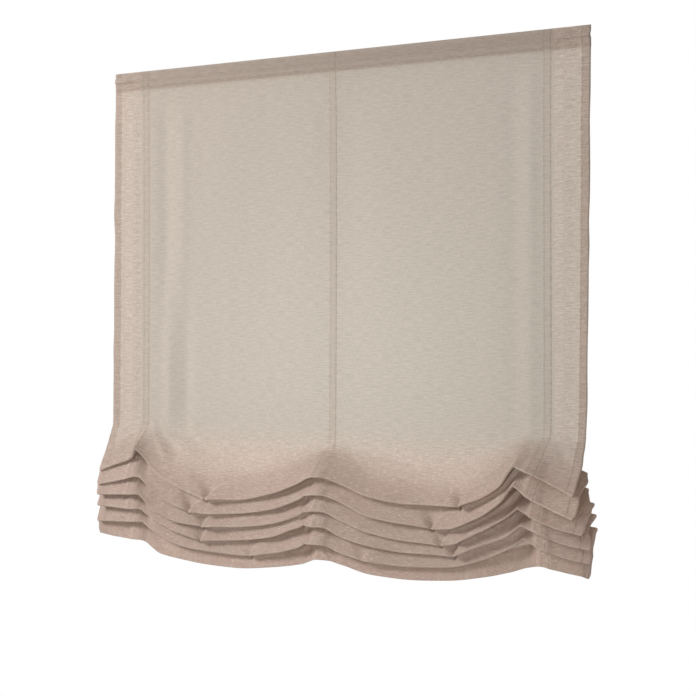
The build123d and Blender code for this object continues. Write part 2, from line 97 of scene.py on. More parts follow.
# How far each lower edge stands out in front of the hanging cloth: at the left side, both edges of
# the left tape, the left bay, and so on to the right side.
WIDE_PLACES = (-675, -585, -563, -287, -11, 11, 287, 563, 585, 675)
FOLD_REACHES = (
    (47, 52, 52, 42, 71, 71, 42, 73, 73, 77),
    (55, 62, 62, 44, 66, 66, 44, 78, 78, 82),
    (60, 64, 64, 44, 64, 64, 44, 56, 56, 40),
    (55, 57, 57, 42, 66, 66, 42, 40, 40, 20),
    (48, 50, 50, 40, 63, 63, 40, 28, 28, 8),
    (46, 38, 38, 36, 49, 49, 36, 10, 10, -12),
)
# The upper, back edge of each later fold: how far behind the hanging cloth, and how far above that
# fold's lower edge.
BACK_REACHES = (
    (9, 7, 7, 18, 7, 7, 18, 7, 7, -4),
    (10, 7, 7, 18, 7, 7, 18, 7, 7, 12),
    (11, 7, 7, 18, 7, 7, 18, 7, 7, 22),
    (11, 7, 7, 18, 7, 7, 18, 7, 7, 29),
    (11, 7, 7, 18, 7, 7, 18, 7, 7, 33),
)
BACK_RISES = (98, 100, 100, 106, 110)
# Where the hanging cloth starts to come forward.
LEAVE_DROPS = (880, 872, 872, 955, 906, 906, 955, 872, 872, 888)
TURN_RADII = {"leave": 40 * MM, "front": 3.5 * MM, "back": 4 * MM}

# Sharp peaks of the lower edges: place, width to the left and right, and height on each fold.
PEAKS = (
    (-568, 4, 22, (24, 0, 0, 0, 0, 0)),
    (-548, 12, 12, (0, 4, 5, 4, 5, 0)),
    (-42, 9, 9, (0, 5, 4, 6, 7, 0)),
    (527, 13, 13, (8, 9, 9, 7, 8, 0)),
)
# Pinches, where a lower edge is nipped in a bay: fold, place, and how far the petal beside it
# stands out.
PINCHES = (
    (0, -342, 11), (1, -396, 10), (2, -358, 8), (3, -362, 9), (4, -212, 5),
    (0, 378, 12), (1, 302, 10), (2, 326, 7), (3, 359, 8), (4, 120, 3),
)
# Mouths, where the cloth under a lower edge falls back: fold, place, depth and width.
MOUTHS = (
    (0, -545, 12, 16), (1, -546, 8, 14), (2, -546, 6, 12), (3, -540, 6, 12),
    (1, -46, 7, 9), (2, -44, 6, 9), (3, -40, 7, 9), (4, -46, 7, 10),
    (0, 524, 18, 22), (1, 520, 20, 24), (2, 525, 15, 20), (3, 530, 12, 18), (4, 524, 10, 18),
)
# Drag lines from the tapes to the first fold: both ends as place and drop, height and width.
DRAGS = (
    (-548, 888, -440, 968, -4, 11), (-560, 870, -470, 985, 3, 9), (-600, 900, -655, 962, 2.5, 6),
    (-590, 912, -640, 985, -2, 6), (548, 876, 430, 975, 3.5, 9), (535, 905, 440, 1000, -3, 9),
    (-20, 905, -95, 968, 2.5, 8), (22, 905, 90, 965, -2.5, 10), (600, 895, 655, 960, -2, 8),
)

# Soft folds of the hanging cloth: place, width, and how far each stands out in the upper and in the
# lower part, as shares of the ripple depth.
SOFT_FOLDS = (
    (-512, 24, -1.1, 0), (-455, 20, 0.5, 0), (-497, 18, 0, 0.9), (-445, 22, 0, -1.1),
    (532, 20, 1, 1), (490, 25, -0.6, -0.6), (612, 15, 0.4, 0.4),
    (-615, 14, 0.5, 0.5), (40, 50, -0.5, -0.5),
)

# How far the side edges lean out, left and right, at drops below the top of the cloth.
LEAN_DROPS = (0, 300, 850, 900, 980, 1060, 1120, 1200)
LEANS = {-1: (0, 4, 9, 10, 13, 18, 20, 24), 1: (6, 4, -5, -7, 6, 9, 11, 13)}
LEAN_FROM = 588 * MM  # from the middle of the blind to where the sides begin to lean

# The ends of the tiers: where they begin, how far they waver, how far they are drawn in at the back
# and stand out at mid depth, and how much their corners are rounded.
ENDS_FROM = 640 * MM
END_WAVER = 3 * MM
END_DRAWN = 13 * MM
END_BELLY = 8 * MM
END_CORNER = 5 * MM

# The header's ledge, which lies higher beyond the outer tapes, its pleat and the side hems' puckers
LEDGE_DEPTH = 2.4 * MM
LEDGE_RISE = 14 * MM
LEDGE_SIDES = 605 * MM
PLEAT_DEPTH = 1.8 * MM
PUCKER_SPACING = 170 * MM

# The cloth's grid: rows along its length, closer together down to the header's depth, and columns
# across it, closer together at the seams.
HEADER_ROWS = 34
HEADER_DEPTH = 60 * MM
FLAT_ROWS = 44
TURN_ROWS = 5
FRONT_ROWS = 20
RETURN_ROWS = 5
HEADER_HEM_ROWS = 15
FOLLOWED_ROWS = 50  # rows at the top of the front, which the header hem follows
BOTTOM_HEM_ROWS = 9
COLUMN_STEP = 4.9 * MM
SEAM_COLUMNS = (-2.2, -1, 0, 1, 2.2)
SEAM_CLEAR = 3.4 * MM
SEAM_HALF = 2 * MM

# The rings and stops: the gap that a tape's thickness leaves beside a ring, a stop's radius, the
# cord's tail under a stop, and the steps round a ring's middle and its section.
RING_GAP = 1.1 * MM
STOP_RADIUS = 3 * MM
CORD_TAIL = 3 * MM
SPIN_STEPS = 28
SECTION_STEPS = 10

# How far from a hem's edge it is sewn
HEM_STITCH = 2 * MM
# The mark of cloth that lies in tiers or is unlit from behind, which steers the painted light,
# in metres: the drops between which it grows in the tiers, the places between which it grows on
# the outer strips, and how strong it is there.
BUNCHED_DROPS = (0.86, 1.02)
STRIP_PLACES = (0.580, 0.600)
STRIP_SHARE = 0.35
# The weave's patterns: width and height of a thread in millimetres, and the noise's detail and
# roughness. Slubs are thicker stretches of weft, the warp is finer and upright, and bright slubs
# are pale threads here and there. The real threads are 0.6 mm apart, which is too fine to show.
WEAVE = {"slubs": (28, 2.2, 3.0, 0.6), "warp": (1.8, 12, 1.0, 0.5), "bright": (14, 1.6, 2.0, 0.5)}
# Stitches are 3 mm long on the real cloth, which is too fine to show.
STITCH = 6 * MM
WAVE_SPAN = 2 * math.pi / 20  # between two bands of the wave texture at a scale of 1
DIAGONAL = 0.58  # of it along one axis, where the bands run across all three

# Lamps: name, place, width, height and power in watts
LAMPS = (
    ("key_softbox", (-3.0, -2.5, 1.1), 1.5, 1.3, 134),
    ("fill_softbox", (3.0, -3.2, -0.9), 2.6, 2.2, 33),
    ("back_softbox", (0.0, 0.34, -0.70), 0.90, 0.60, 2.3),
)


def srgb(code):
    """A hex colour as linear red, green, blue and alpha."""
    values = [int(code[place : place + 2], 16) / 255 for place in (1, 3, 5)]
    linear = [
        value / 12.92 if value <= 0.04045 else ((value + 0.055) / 1.055) ** 2.4 for value in values
    ]
    return (*linear, 1.0)


# ---------------------------------------------------------------- the drape


def smooth(x, places, values):
    """The value at x on a smooth line through the values at the places, in metres."""
    places = np.array(places, float) * MM
    values = np.array(values, float) * MM
    slopes = np.diff(values) / np.diff(places)
    tangents = np.zeros(len(values))
    product = slopes[:-1] * slopes[1:]
    total = slopes[:-1] + slopes[1:]
    tangents[1:-1] = np.where(product > 0, 2 * product / np.where(total == 0, 1, total), 0)
    tangents[0], tangents[-1] = slopes[0], slopes[-1]
    span = int(np.clip(np.searchsorted(places, x) - 1, 0, len(places) - 2))
    width = places[span + 1] - places[span]
    t = (x - places[span]) / width
    return (
        (1 + 2 * t) * (1 - t) ** 2 * values[span]
        + t * (1 - t) ** 2 * width * tangents[span]
        + t * t * (3 - 2 * t) * values[span + 1]
        + t * t * (t - 1) * width * tangents[span + 1]
    )


def fold_low(x, fold):
    """The height of a fold's lower edge at x, with its sharp peaks and nipped places."""
    drop = smooth(x, PLACES, FOLD_DROPS[fold])
    for place, left_width, right_width, heights in PEAKS:
        width = left_width if x < place * MM else right_width
        drop -= heights[fold] * MM * math.exp(-abs(x - place * MM) / (width * MM))
    for nipped, place, depth in PINCHES:
        if nipped == fold:
            drop += 0.5 * depth * MM * math.exp(-abs(x - place * MM) / (22 * MM))
    return CLOTH_TOP - drop


def bends(x):
    """The bends of the section at x, from the top: centre, radius, and 1 for a left turn."""
    leave = TURN_RADII["leave"]
    start = (CLOTH_PLANE - leave, CLOTH_TOP - smooth(x, WIDE_PLACES, LEAVE_DROPS))
    chain = [(np.array(start), leave, -1)]
    for fold in range(len(FOLD_DROPS)):
        low = fold_low(x, fold)
        reach = smooth(x, WIDE_PLACES, FOLD_REACHES[fold])
        if fold:
            radius = TURN_RADII["back"]
            behind = smooth(x, WIDE_PLACES, BACK_REACHES[fold - 1])
            centre = (CLOTH_PLANE + behind - radius, low + BACK_RISES[fold - 1] * MM - radius)
            chain.append((np.array(centre), radius, -1))
        radius = 0.0 if fold == len(FOLD_DROPS) - 1 else TURN_RADII["front"]
        chain.append((np.array((CLOTH_PLANE - reach + radius, low + radius)), radius, 1))
    return chain


def heading(bend, following):
    """The angle of the straight run from one bend to the next, which turns the other way."""
    across = following[0] - bend[0]
    offset = bend[1] + following[1]
    length = math.sqrt(across @ across - offset * offset)
    return math.atan2(across[1], across[0]) + bend[2] * math.atan2(offset, length)


def section(x):
    """The cloth's middle line at x: points (y, z), their normals to the back, and their places in
    the chain of bends."""
    chain = bends(x)
    bulge = settings().tier_bulge
    here = np.array((CLOTH_PLANE, CLOTH_TOP))
    angle = -math.pi / 2
    points, normals, chain_places = [], [], []

    def left_of(direction):
        return np.array((-math.sin(direction), math.cos(direction)))

    for index, (bend, following) in enumerate(zip(chain, chain[1:] + [None])):
        centre, radius, turn = bend
        begin = centre - left_of(angle) * turn * radius
        if index == 0:
            depth = HEADER_DEPTH / (here[1] - begin[1])
            header = np.linspace(0, depth, HEADER_ROWS, endpoint=False)
            rest = np.linspace(header[-1] + header[1], 1, FLAT_ROWS, endpoint=False)
            shares = np.append(header, rest)
        elif index % 2:
            # Closer together towards the lower edge, where the cloth bends most
            shares = 1 - (1 - np.linspace(0, 1, FRONT_ROWS, endpoint=following is None)) ** 1.5
        else:
            shares = np.linspace(0, 1, RETURN_ROWS, endpoint=False)
        # The fronts of the tiers belly out, and the cloth that returns to the rings only a little
        belly = 0.0 if index < 2 else bulge if index % 2 else 0.2 * bulge
        out_way = left_of(angle) if math.cos(angle) > 0 else -left_of(angle)
        for share in shares:
            out = belly * math.sin(math.pi * share)
            points.append(here + (begin - here) * share + out_way * out)
            normals.append(left_of(angle))
            chain_places.append(index)
        if following is None:
            break
        onward = heading(bend, following)
        swing = (onward - angle + math.pi) % (2 * math.pi) - math.pi
        if turn * swing < 0:
            swing += turn * 2 * math.pi
        for share in np.linspace(0, 1, TURN_ROWS, endpoint=False):
            side = left_of(angle + swing * share)
            points.append(centre - side * turn * radius)
            normals.append(side)
            chain_places.append(index + share)
        angle = onward
        here = centre - left_of(angle) * turn * radius
    return np.array(points), np.array(normals), chain_places


def settings():
    """The cloth's settings."""
    return bpy.context.scene.blind_cloth


def columns():
    """Places across the cloth, each with its layer: 0 for the front, and 1 for the side hems'
    turned-back parts."""
    hem = settings().side_hem
    count = int(2 * HALF_WIDTH / COLUMN_STEP)
    edges = [-HALF_WIDTH + 2 * HALF_WIDTH * place / count for place in range(count + 1)]
    seams = [hem - HALF_WIDTH, HALF_WIDTH - hem]
    inset = settings().stitch_inset
    seams += [place + side * inset for place in TAPES.values() for side in (-1, 1)]
    for seam in seams:
        edges = [edge for edge in edges if abs(edge - seam) > SEAM_CLEAR]
        edges += [seam + aside * MM for aside in SEAM_COLUMNS]
    edges.sort()
    front = [(edge, 0) for edge in edges]
    turned = [0.3 * MM, 4 * MM, 10 * MM, hem - 2 * MM, hem]
    left = [(-HALF_WIDTH + inset, 1) for inset in reversed(turned)]
    right = [(HALF_WIDTH - inset, 1) for inset in turned]
    return left + front + right


def seam_share(x):
    """How strongly a sewn line shows at x: up to 1 on the line, falling to 0 beside it."""
    hem = HALF_WIDTH - settings().side_hem
    inset = settings().stitch_inset
    seams = [(-hem, 0.5), (hem, 1.0)]
    for place in TAPES.values():
        seams += [(place - inset, 0.6 if place else 0.3), (place + inset, 1.0)]
    return max(strength * max(0.0, 1 - abs(x - seam) / SEAM_HALF) for seam, strength in seams)


def gauss(values, middle, width):
    """1 at the middle, fading to both sides."""
    return np.exp(-(((values - middle) / width) ** 2))


def step(values, start, end):
    """0 before the start and 1 after the end."""
    share = np.clip((values - start) / (end - start), 0, 1)
    return share * share * (3 - 2 * share)


# Smooth noise from -1 to 1, at three coordinates that may be grids
uneven = np.vectorize(lambda a, b, c: noise.noise((a, b, c)))


def hanging_relief(x, drop):
    """The header's ridge and the long soft folds of the hanging cloth, in metres to the front."""
    cloth = settings()
    inner = step(LEDGE_SIDES - np.abs(x), 0, 12 * MM)
    ledge = cloth.header_ledge - LEDGE_RISE * (1 - inner)
    over = step(drop, 3 * MM, ledge - 2 * MM) * (1 - step(drop, ledge - 1.5 * MM, ledge + 2 * MM))
    out = LEDGE_DEPTH * over + 0.8 * MM * gauss(drop, ledge + 7 * MM, 4 * MM)
    # Flat pleats along the header
    out += PLEAT_DEPTH * (gauss(drop, 21 * MM, 5 * MM) + 0.5 * gauss(drop, 3 * MM, 3 * MM))
    # Soft folds between the header and the tiers, which change their places halfway down
    flat = step(drop, 0.05, 0.16) * (1 - step(drop, 0.82, 0.94))
    lower = step(drop + 0.05 * uneven(x * 3, drop * 0 + 2, 4.0), 0.42, 0.78)
    for place, width, above_share, below_share in SOFT_FOLDS:
        share = above_share * (1 - lower) + below_share * lower
        out += cloth.ripple_depth * flat * share * gauss(x, place * MM, width * MM)
    # Puckers of the side hems, which run down to the inside
    inset = HALF_WIDTH - np.abs(x)
    phase = 2 * math.pi * (drop - 0.8 * inset) / PUCKER_SPACING
    wave = np.sin(phase + 7 * uneven(drop * 4, np.sign(x) * 3, 1.0))
    wave *= 0.6 + uneven(drop * 6, np.sign(x) * 2, 6.0)
    out += cloth.pucker_depth * flat * wave * np.exp(-inset / (22 * MM))
    # Slow unevenness of the whole cloth
    out += cloth.unevenness * flat * uneven(x * 5.5, drop * 1.3, 2.0)
    return out


def fold_relief(x, z, lows):
    """The pinches, mouths and lit edges of the folds, in metres to the front."""
    cloth = settings()
    out = np.zeros(z.shape)
    for fold, low in enumerate(lows[:-1]):
        above = z - low
        crest = np.where(above > 0, gauss(above, 0, 7 * MM), gauss(above, 0, 3 * MM))
        out += cloth.edge_flare * crest * (1 + 0.8 * uneven(x * 11, x * 0 + fold, 3.0))
    for fold, place, depth in PINCHES:
        along = x - place * MM
        above = z - lows[fold]
        rim = petal_rim(along)
        under = (1 - step(above, rim - 3 * MM, rim + 3 * MM)) * step(along, -1 * MM, 6 * MM)
        at_fold = step(above, -8 * MM, -1 * MM)
        out += depth * MM * under * at_fold * np.exp(-np.clip(along, 0, None) / (75 * MM))
        # A valley runs up from the pinch to the left, and fades as it widens
        risen = np.clip(above, 0, None)
        valley = gauss(along, -0.35 * above, 6 * MM + 0.40 * risen) * gauss(risen, 0, 38 * MM)
        out -= 1.2 * depth * MM * valley * (1 - under) * at_fold
    for fold, place, depth, width in MOUTHS:
        below = lows[fold] - z
        share = below / (lows[fold] - lows[fold + 1])
        open_part = step(below, -2 * MM, 3 * MM) * (1 - step(share, 0.3, 0.95))
        out -= depth * MM * gauss(x, place * MM, width * MM) * open_part
    return out


def relief(x, z, lows):
    """How far the cloth stands out, the same at one place and height for every layer, so that the
    layers never cross."""
    cloth = settings()
    drop = CLOTH_TOP - z
    out = hanging_relief(x, drop) + fold_relief(x, z, lows)
    # The cloth falls back a little beside each tape
    folded = step(drop, 0.90, 0.97)
    for place in TAPES.values():
        aside = np.abs(x - place)
        beside = step(aside, 13 * MM, 26 * MM) * (1 - step(aside, 50 * MM, 170 * MM))
        out -= cloth.tape_ridge * folded * beside
    for x1, drop1, x2, drop2, height, width in DRAGS:
        run = np.array((x2 - x1, drop2 - drop1)) * MM
        length = np.linalg.norm(run)
        share = ((x - x1 * MM) * run[0] + (drop - drop1 * MM) * run[1]) / length**2
        aside = ((x - x1 * MM) * run[1] - (drop - drop1 * MM) * run[0]) / length
        faded = step(share, -0.1, 0.25) * (1 - step(share, 0.7, 1.1))
        out += height * MM * gauss(aside, 0, width * MM) * faded
    # Creases along the tiers
    out += cloth.crease_depth * step(drop, 0.93, 0.99) * uneven(x * 15, z * 70, 5.0)
    out += 1.5 * cloth.crease_depth * step(drop, 0.90, 0.99) * uneven(x * 7, z * 22, 8.0)
    return out


def petal_rim(along):
    """The height of a petal's rim above the lower edge, at a distance right of its pinch."""
    along = np.clip(along, 0, None)
    return 34 * MM * (1 - np.exp(-along / (15 * MM))) + 0.2 * along


def drape(shift, places):
    """The draped cloth, or a strip of it, as a grid of points, with its lengths along the section
    and how strongly a painted highlight shows along its folds' lower edges and the petals' rims."""
    points, normals, chain_places = zip(*(section(place) for place, _ in places))
    points, normals = np.array(points), np.array(normals)
    x = np.array([[place] for place, _ in places])
    behind = np.array([[shift + LAYER * back] for _, back in places])
    folds = range(len(FOLD_DROPS))
    lows = [np.array([[fold_low(place, fold)] for place, _ in places]) for fold in folds]
    out = relief(x, points[:, :, 1], lows)
    y = points[:, :, 0] + normals[:, :, 0] * behind - out
    z = points[:, :, 1] + normals[:, :, 1] * behind
    # The ends of the tiers are uneven, with round corners, and drawn in at the back
    end = step(np.abs(x), ENDS_FROM, HALF_WIDTH) * np.sign(x)
    tiered = step(CLOTH_TOP - z, 0.92, 1.0)
    leans = [np.interp((CLOTH_TOP - z) / MM, LEAN_DROPS, LEANS[side]) * MM for side in (-1, 1)]
    outer = np.clip((np.abs(x) - LEAN_FROM) / (HALF_WIDTH - LEAN_FROM), 0, 1) * np.sign(x)
    wide = x + outer * np.where(x < 0, *leans)
    wide = wide + end * tiered * END_WAVER * np.sin(z * 57 + 2 + x)
    wide = wide - end * tiered * END_DRAWN * gauss(points[:, :, 0], CLOTH_PLANE + 10 * MM, 20 * MM)
    wide = wide + end * tiered * END_BELLY * gauss(points[:, :, 0], CLOTH_PLANE - 24 * MM, 14 * MM)
    # How strongly a painted highlight shows along each fold's lower edge and petal rim
    creases = np.zeros(z.shape)
    rows = np.array(chain_places[0])
    for fold, low in enumerate(lows):
        above = points[:, :, 1] - low
        near = (rows >= 2 * fold + 1) & (rows < 2 * fold + 3)
        wide = wide - near * end * END_CORNER * gauss(above, -1 * MM, 7 * MM)
        # Painted highlights along the lower edges on the fronts of the tiers, and along the petals'
        # rims
        front = (rows >= 2 * fold + 1) & (rows < 2 * fold + 2) & (fold < len(lows) - 1)
        rim = gauss(above, 1.5 * MM, 3 * MM)
        for nipped, place, _ in PINCHES:
            along = x - place * MM
            if nipped == fold:
                at_rim = gauss(above, petal_rim(along), 3 * MM) * step(along, -2 * MM, 3 * MM)
                rim = np.maximum(rim, 1.6 * at_rim * (1 - step(along, 20 * MM, 90 * MM)))
        creases += front * rim * np.clip(0.7 + 1.6 * uneven(x * 9, x * 0 + 3 * fold, 7.0), 0, 1.2)
    steps = np.hypot(np.diff(points[:, :, 0]), np.diff(points[:, :, 1]))
    lengths = np.concatenate((np.zeros((len(places), 1)), np.cumsum(steps, axis=1)), axis=1)
    return np.stack((wide, y, z), axis=2), lengths, creases


def mesh_object(name, shape):
    """A mesh object from a finished bmesh, which is freed."""
    mesh = bpy.data.meshes.new(name)
    shape.to_mesh(mesh)
    shape.free()
    piece = bpy.data.objects.new(name, mesh)
    bpy.context.collection.objects.link(piece)
    return piece


def grid_object(name, grid, across, along, marks):
    """A mesh object from a grid of points, with a UV map in metres of cloth and an attribute for
    each of its marks, such as seams and painted highlights."""
    count, rows = grid.shape[:2]
    shape = bmesh.new()
    bmesh.ops.create_grid(shape, x_segments=count - 1, y_segments=rows - 1, size=1)
    uv_layer = shape.loops.layers.uv.new("cloth")
    for mark in marks:
        shape.verts.layers.float.new(mark)
    places = {}
    for vert in shape.verts:
        column = round((vert.co.x + 1) / 2 * (count - 1))
        row = round((1 - vert.co.y) / 2 * (rows - 1))
        places[vert] = (column, row)
    for vert, (column, row) in places.items():
        vert.co = grid[column, row]
        for mark, values in marks.items():
            vert[shape.verts.layers.float[mark]] = values[column, row]
    for face in shape.faces:
        face.smooth = True
        for loop in face.loops:
            column, row = places[loop.vert]
            loop[uv_layer].uv = (across[column], -along[column, row])
    return mesh_object(name, shape)


# ---------------------------------------------------------------- materials


def add_node(tree, kind, links=(), **values):
    """Adds a node, sets its properties or its sockets, and links its sockets from others."""
    node = tree.nodes.new(kind)
    for name, value in values.items():
        if hasattr(node, name):
            setattr(node, name, value)
        else:
            node.inputs[name.replace("_", " ")].default_value = value
    for socket, source in links:
        tree.links.new(source, node.inputs[socket])
    return node


def new_material(name):
    """An empty node material with its output."""
    material = bpy.data.materials.new(name)
    material.use_nodes = True
    material.node_tree.nodes.clear()
    output = add_node(material.node_tree, "ShaderNodeOutputMaterial")
    return material, material.node_tree, output


def linen(name, light, dark, behind, translucence):
    """Loosely woven linen-look polyester: matt, with long level slubs, and light comes through."""
    material, tree, output = new_material(name)
    cloth = add_node(tree, "ShaderNodeUVMap", uv_map="cloth")
    noises = {}
    for kind, (wide, high, detail, rough) in WEAVE.items():
        place = add_node(
            tree, "ShaderNodeMapping", [("Vector", cloth.outputs["UV"])],
            Scale=(1 / (wide * MM), 1 / (high * MM), 1),
        )
        noises[kind] = add_node(
            tree, "ShaderNodeTexNoise", [("Vector", place.outputs[0])],
            Scale=1.0, Detail=detail, Roughness=rough,
        ).outputs[0]
    weave = add_node(
        tree, "ShaderNodeMix", [(2, noises["slubs"]), (3, noises["warp"])], data_type="FLOAT"
    )
    weave.inputs[0].default_value = 0.3
    tone = add_node(tree, "ShaderNodeValToRGB", [("Fac", weave.outputs[0])])
    for element, position, colour in zip(tone.color_ramp.elements, (0.39, 0.61), (dark, light)):
        element.position, element.color = position, colour
    # Cloth in tiers or unlit from behind: less painted glow, more painted highlight and warm shade
    bunched_or_unlit = add_node(tree, "ShaderNodeAttribute", attribute_name="bunched_or_unlit").outputs["Fac"]
    evened = add_node(
        tree, "ShaderNodeMapRange", [("Value", bunched_or_unlit)],
        From_Max=STRIP_SHARE, To_Min=0.45, To_Max=0.0,
    )
    # Bright slubs are pale threads, with a painted highlight that shows most where the cloth lies
    # in tiers or hangs free, and the light rakes over it
    slub_highlight_share = add_node(tree, "ShaderNodeMapRange", [("Value", bunched_or_unlit)], To_Min=0.12, To_Max=1.1)
    bright = add_node(
        tree, "ShaderNodeMapRange", [("Value", noises["bright"]), ("To Max", slub_highlight_share.outputs[0])],
        From_Min=0.55, From_Max=0.66,
    )
    # A painted highlight along the folds' lower edges and the petals' rims, laid over the slubs
    edge_highlight = add_node(tree, "ShaderNodeAttribute", attribute_name="edge_highlight")
    highlight_on_weave = add_node(
        tree, "ShaderNodeMath", [(0, edge_highlight.outputs["Fac"]), (1, noises["slubs"])],
        operation="MULTIPLY",
    )
    # Paler at the bright slubs and at the painted highlights
    pale = add_node(
        tree, "ShaderNodeMath", [(0, bright.outputs[0]), (1, highlight_on_weave.outputs[0])],
        operation="MAXIMUM",
    )
    # Painted warm shade in the tiers and a little on the outer strips, for light between layers
    painted_warmth = add_node(tree, "ShaderNodeMath", [(0, bunched_or_unlit)], operation="MULTIPLY")
    painted_warmth.inputs[1].default_value = 0.34
    # Sewn lines, drawn as stitches
    seam = add_node(tree, "ShaderNodeAttribute", attribute_name="seam")
    stitch = add_node(
        tree, "ShaderNodeTexWave", [("Vector", cloth.outputs["UV"])],
        bands_direction="DIAGONAL", Scale=WAVE_SPAN / STITCH * DIAGONAL,
    )
    stitched = add_node(
        tree, "ShaderNodeMapRange", [("Value", stitch.outputs["Fac"])], To_Min=0.45, To_Max=1.25
    )
    thread = add_node(
        tree, "ShaderNodeMath", [(0, seam.outputs["Fac"]), (1, stitched.outputs[0])],
        operation="MULTIPLY",
    )
    # A painted glow of light from behind evens the weave out where one layer hangs flat, bright
    # slubs and the painted highlights along the edges are paler, a painted warm shade stands for
    # the light between the layers of the tiers, and stitches are dark
    shade = tone.outputs[0]
    for share, code in (
        (evened, "#C3B1A4"), (pale, "#F4E8DE"), (painted_warmth, "#E9C7B6"), (thread, "#8A7668")
    ):
        mix = add_node(
            tree, "ShaderNodeMix", [(0, share.outputs[0]), (6, shade)], data_type="RGBA"
        )
        mix.inputs[7].default_value = srgb(code)
        shade = mix.outputs[2]
    bump = add_node(
        tree, "ShaderNodeBump", [("Height", weave.outputs[0])], Strength=0.5, Distance=LAYER
    )
    face = add_node(
        tree, "ShaderNodeBsdfPrincipled",
        [("Base Color", shade), ("Normal", bump.outputs[0])],
        Roughness=0.82, Sheen_Weight=0.15, Sheen_Roughness=0.4, Specular_IOR_Level=0.25,
    )
    # The light that passes is warm where layers lie behind each other, and a seam holds it up
    cast = add_node(tree, "ShaderNodeMix", [(0, painted_warmth.outputs[0])], data_type="RGBA")
    cast.inputs[6].default_value = behind
    cast.inputs[7].default_value = srgb("#DDAE9A")
    glow = add_node(
        tree, "ShaderNodeMix", [(0, seam.outputs["Fac"]), (6, cast.outputs[2]), (7, shade)],
        data_type="RGBA",
    )
    through = add_node(tree, "ShaderNodeBsdfTranslucent", [("Color", glow.outputs[2])])
    # The turned-back layer of a hem lets more light through, as its weave is drawn open
    turned = add_node(tree, "ShaderNodeAttribute", attribute_name="turned")
    passed = add_node(
        tree, "ShaderNodeMapRange", [("Value", turned.outputs["Fac"])],
        To_Min=translucence, To_Max=0.5,
    )
    mixed = add_node(
        tree, "ShaderNodeMixShader",
        [(0, passed.outputs[0]), (1, face.outputs[0]), (2, through.outputs[0])],
    )
    tree.links.new(mixed.outputs[0], output.inputs["Surface"])
    return material


def grain(tree, density, detail, strength, depth):
    """A fine grain, so many to the metre each way: its pattern and its bump."""
    place = add_node(tree, "ShaderNodeTexCoord")
    spread = add_node(
        tree, "ShaderNodeMapping", [("Vector", place.outputs["Object"])], Scale=density
    )
    pattern = add_node(
        tree, "ShaderNodeTexNoise", [("Vector", spread.outputs[0])], Scale=1.0, Detail=detail
    ).outputs[0]
    bump = add_node(
        tree, "ShaderNodeBump", [("Height", pattern)], Strength=strength, Distance=depth
    )
    return pattern, bump.outputs[0]


def moulded(name, colour, roughness, size, clear=0.0):
    """Moulded plastic: even colour, soft gloss and a mould grain of the given size; a clear one
    lets the share of the light through."""
    material, tree, output = new_material(name)
    _, bump = grain(tree, (1 / size, 1 / size, 1 / size), 2.0, 0.15, 0.2 * MM)
    face = add_node(
        tree, "ShaderNodeBsdfPrincipled", [("Normal", bump)],
        Base_Color=colour, Roughness=roughness, IOR=1.49, Transmission_Weight=clear,
    )
    tree.links.new(face.outputs[0], output.inputs["Surface"])
    return material


def fibres(name, light, dark, density):
    """Short matt fibres, such as a loop tape's pile or a cord's braid: mottled, never glossy."""
    material, tree, output = new_material(name)
    strands, bump = grain(tree, density, 3.0, 0.7, 0.4 * MM)
    tone = add_node(tree, "ShaderNodeValToRGB", [("Fac", strands)])
    for element, position, colour in zip(tone.color_ramp.elements, (0.35, 0.65), (dark, light)):
        element.position, element.color = position, colour
    face = add_node(
        tree, "ShaderNodeBsdfPrincipled", [("Base Color", tone.outputs[0]), ("Normal", bump)],
        Roughness=0.9, Sheen_Weight=0.2,
    )
    tree.links.new(face.outputs[0], output.inputs["Surface"])
    return material


def metal(name, colour, roughness, metallic, density):
    """Metal, bare or coated: fine lines along it where it is bare, orange peel where coated."""
    material, tree, output = new_material(name)
    _, bump = grain(tree, density, 2.0, 0.1, 0.1 * MM)
    face = add_node(
        tree, "ShaderNodeBsdfPrincipled", [("Normal", bump)],
        Base_Color=colour, Roughness=roughness, Metallic=metallic,
    )
    tree.links.new(face.outputs[0], output.inputs["Surface"])
    return material


# The finish of each CAD material slot: what makes it, and with what
FINISHES = {
    # White, and open enough for light to show through it
    "tape": (linen, "Woven polyester tape", srgb("#F4F1EC"), srgb("#ECE7E0"), srgb("#FBFAF8"), 0.9),
    # A dull, short pile, with tufts 1.2 mm apart
    "loop": (fibres, "Sewn loop tape", srgb("#DCD8D0"), srgb("#BDB7AD"), (800, 800, 800)),
    # Rows of tiny hooks, which look like a coarse grain
    "hook": (moulded, "Moulded hook tape", srgb("#DEDCD6"), 0.6, 1.5 * MM),
    # Glossy and see-through, with hardly any grain
    "clear_plastic": (moulded, "Clear polycarbonate", srgb("#EEF0EE"), 0.12, 4 * MM, 0.8),
    # Satin, as it comes from a spark-eroded mould
    "white_plastic": (moulded, "Moulded white acetal", srgb("#E6E5E1"), 0.38, 0.8 * MM),
    "grey_plastic": (moulded, "Moulded grey acetal", srgb("#9FA1A1"), 0.4, 0.8 * MM),
    # Satin, with orange peel of 1.1 mm
    "white_aluminium": (metal, "White powder coat", srgb("#E7E6E3"), 0.42, 0.0, (900, 900, 900)),
    "white_steel": (
        metal, "White powder-coated steel", srgb("#E4E3E0"), 0.45, 0.0, (900, 900, 900),
    ),
    # Bright, with die lines along it, 0.4 mm apart
    "shaft_aluminium": (metal, "Extruded aluminium", srgb("#C5C7C9"), 0.3, 1.0, (20, 2500, 2500)),
    # Bright and bluish, with a fine spangle of 0.7 mm
    "zinc_steel": (metal, "Zinc-plated steel", srgb("#B9BCBE"), 0.32, 1.0, (1500, 1500, 1500)),
    # Dull, with the strands of the braid 0.6 mm apart
    "cord": (fibres, "Braided polyester cord", srgb("#F2F0EA"), srgb("#CFCAC0"), (1600, 1600, 700)),
}
MADE = {}


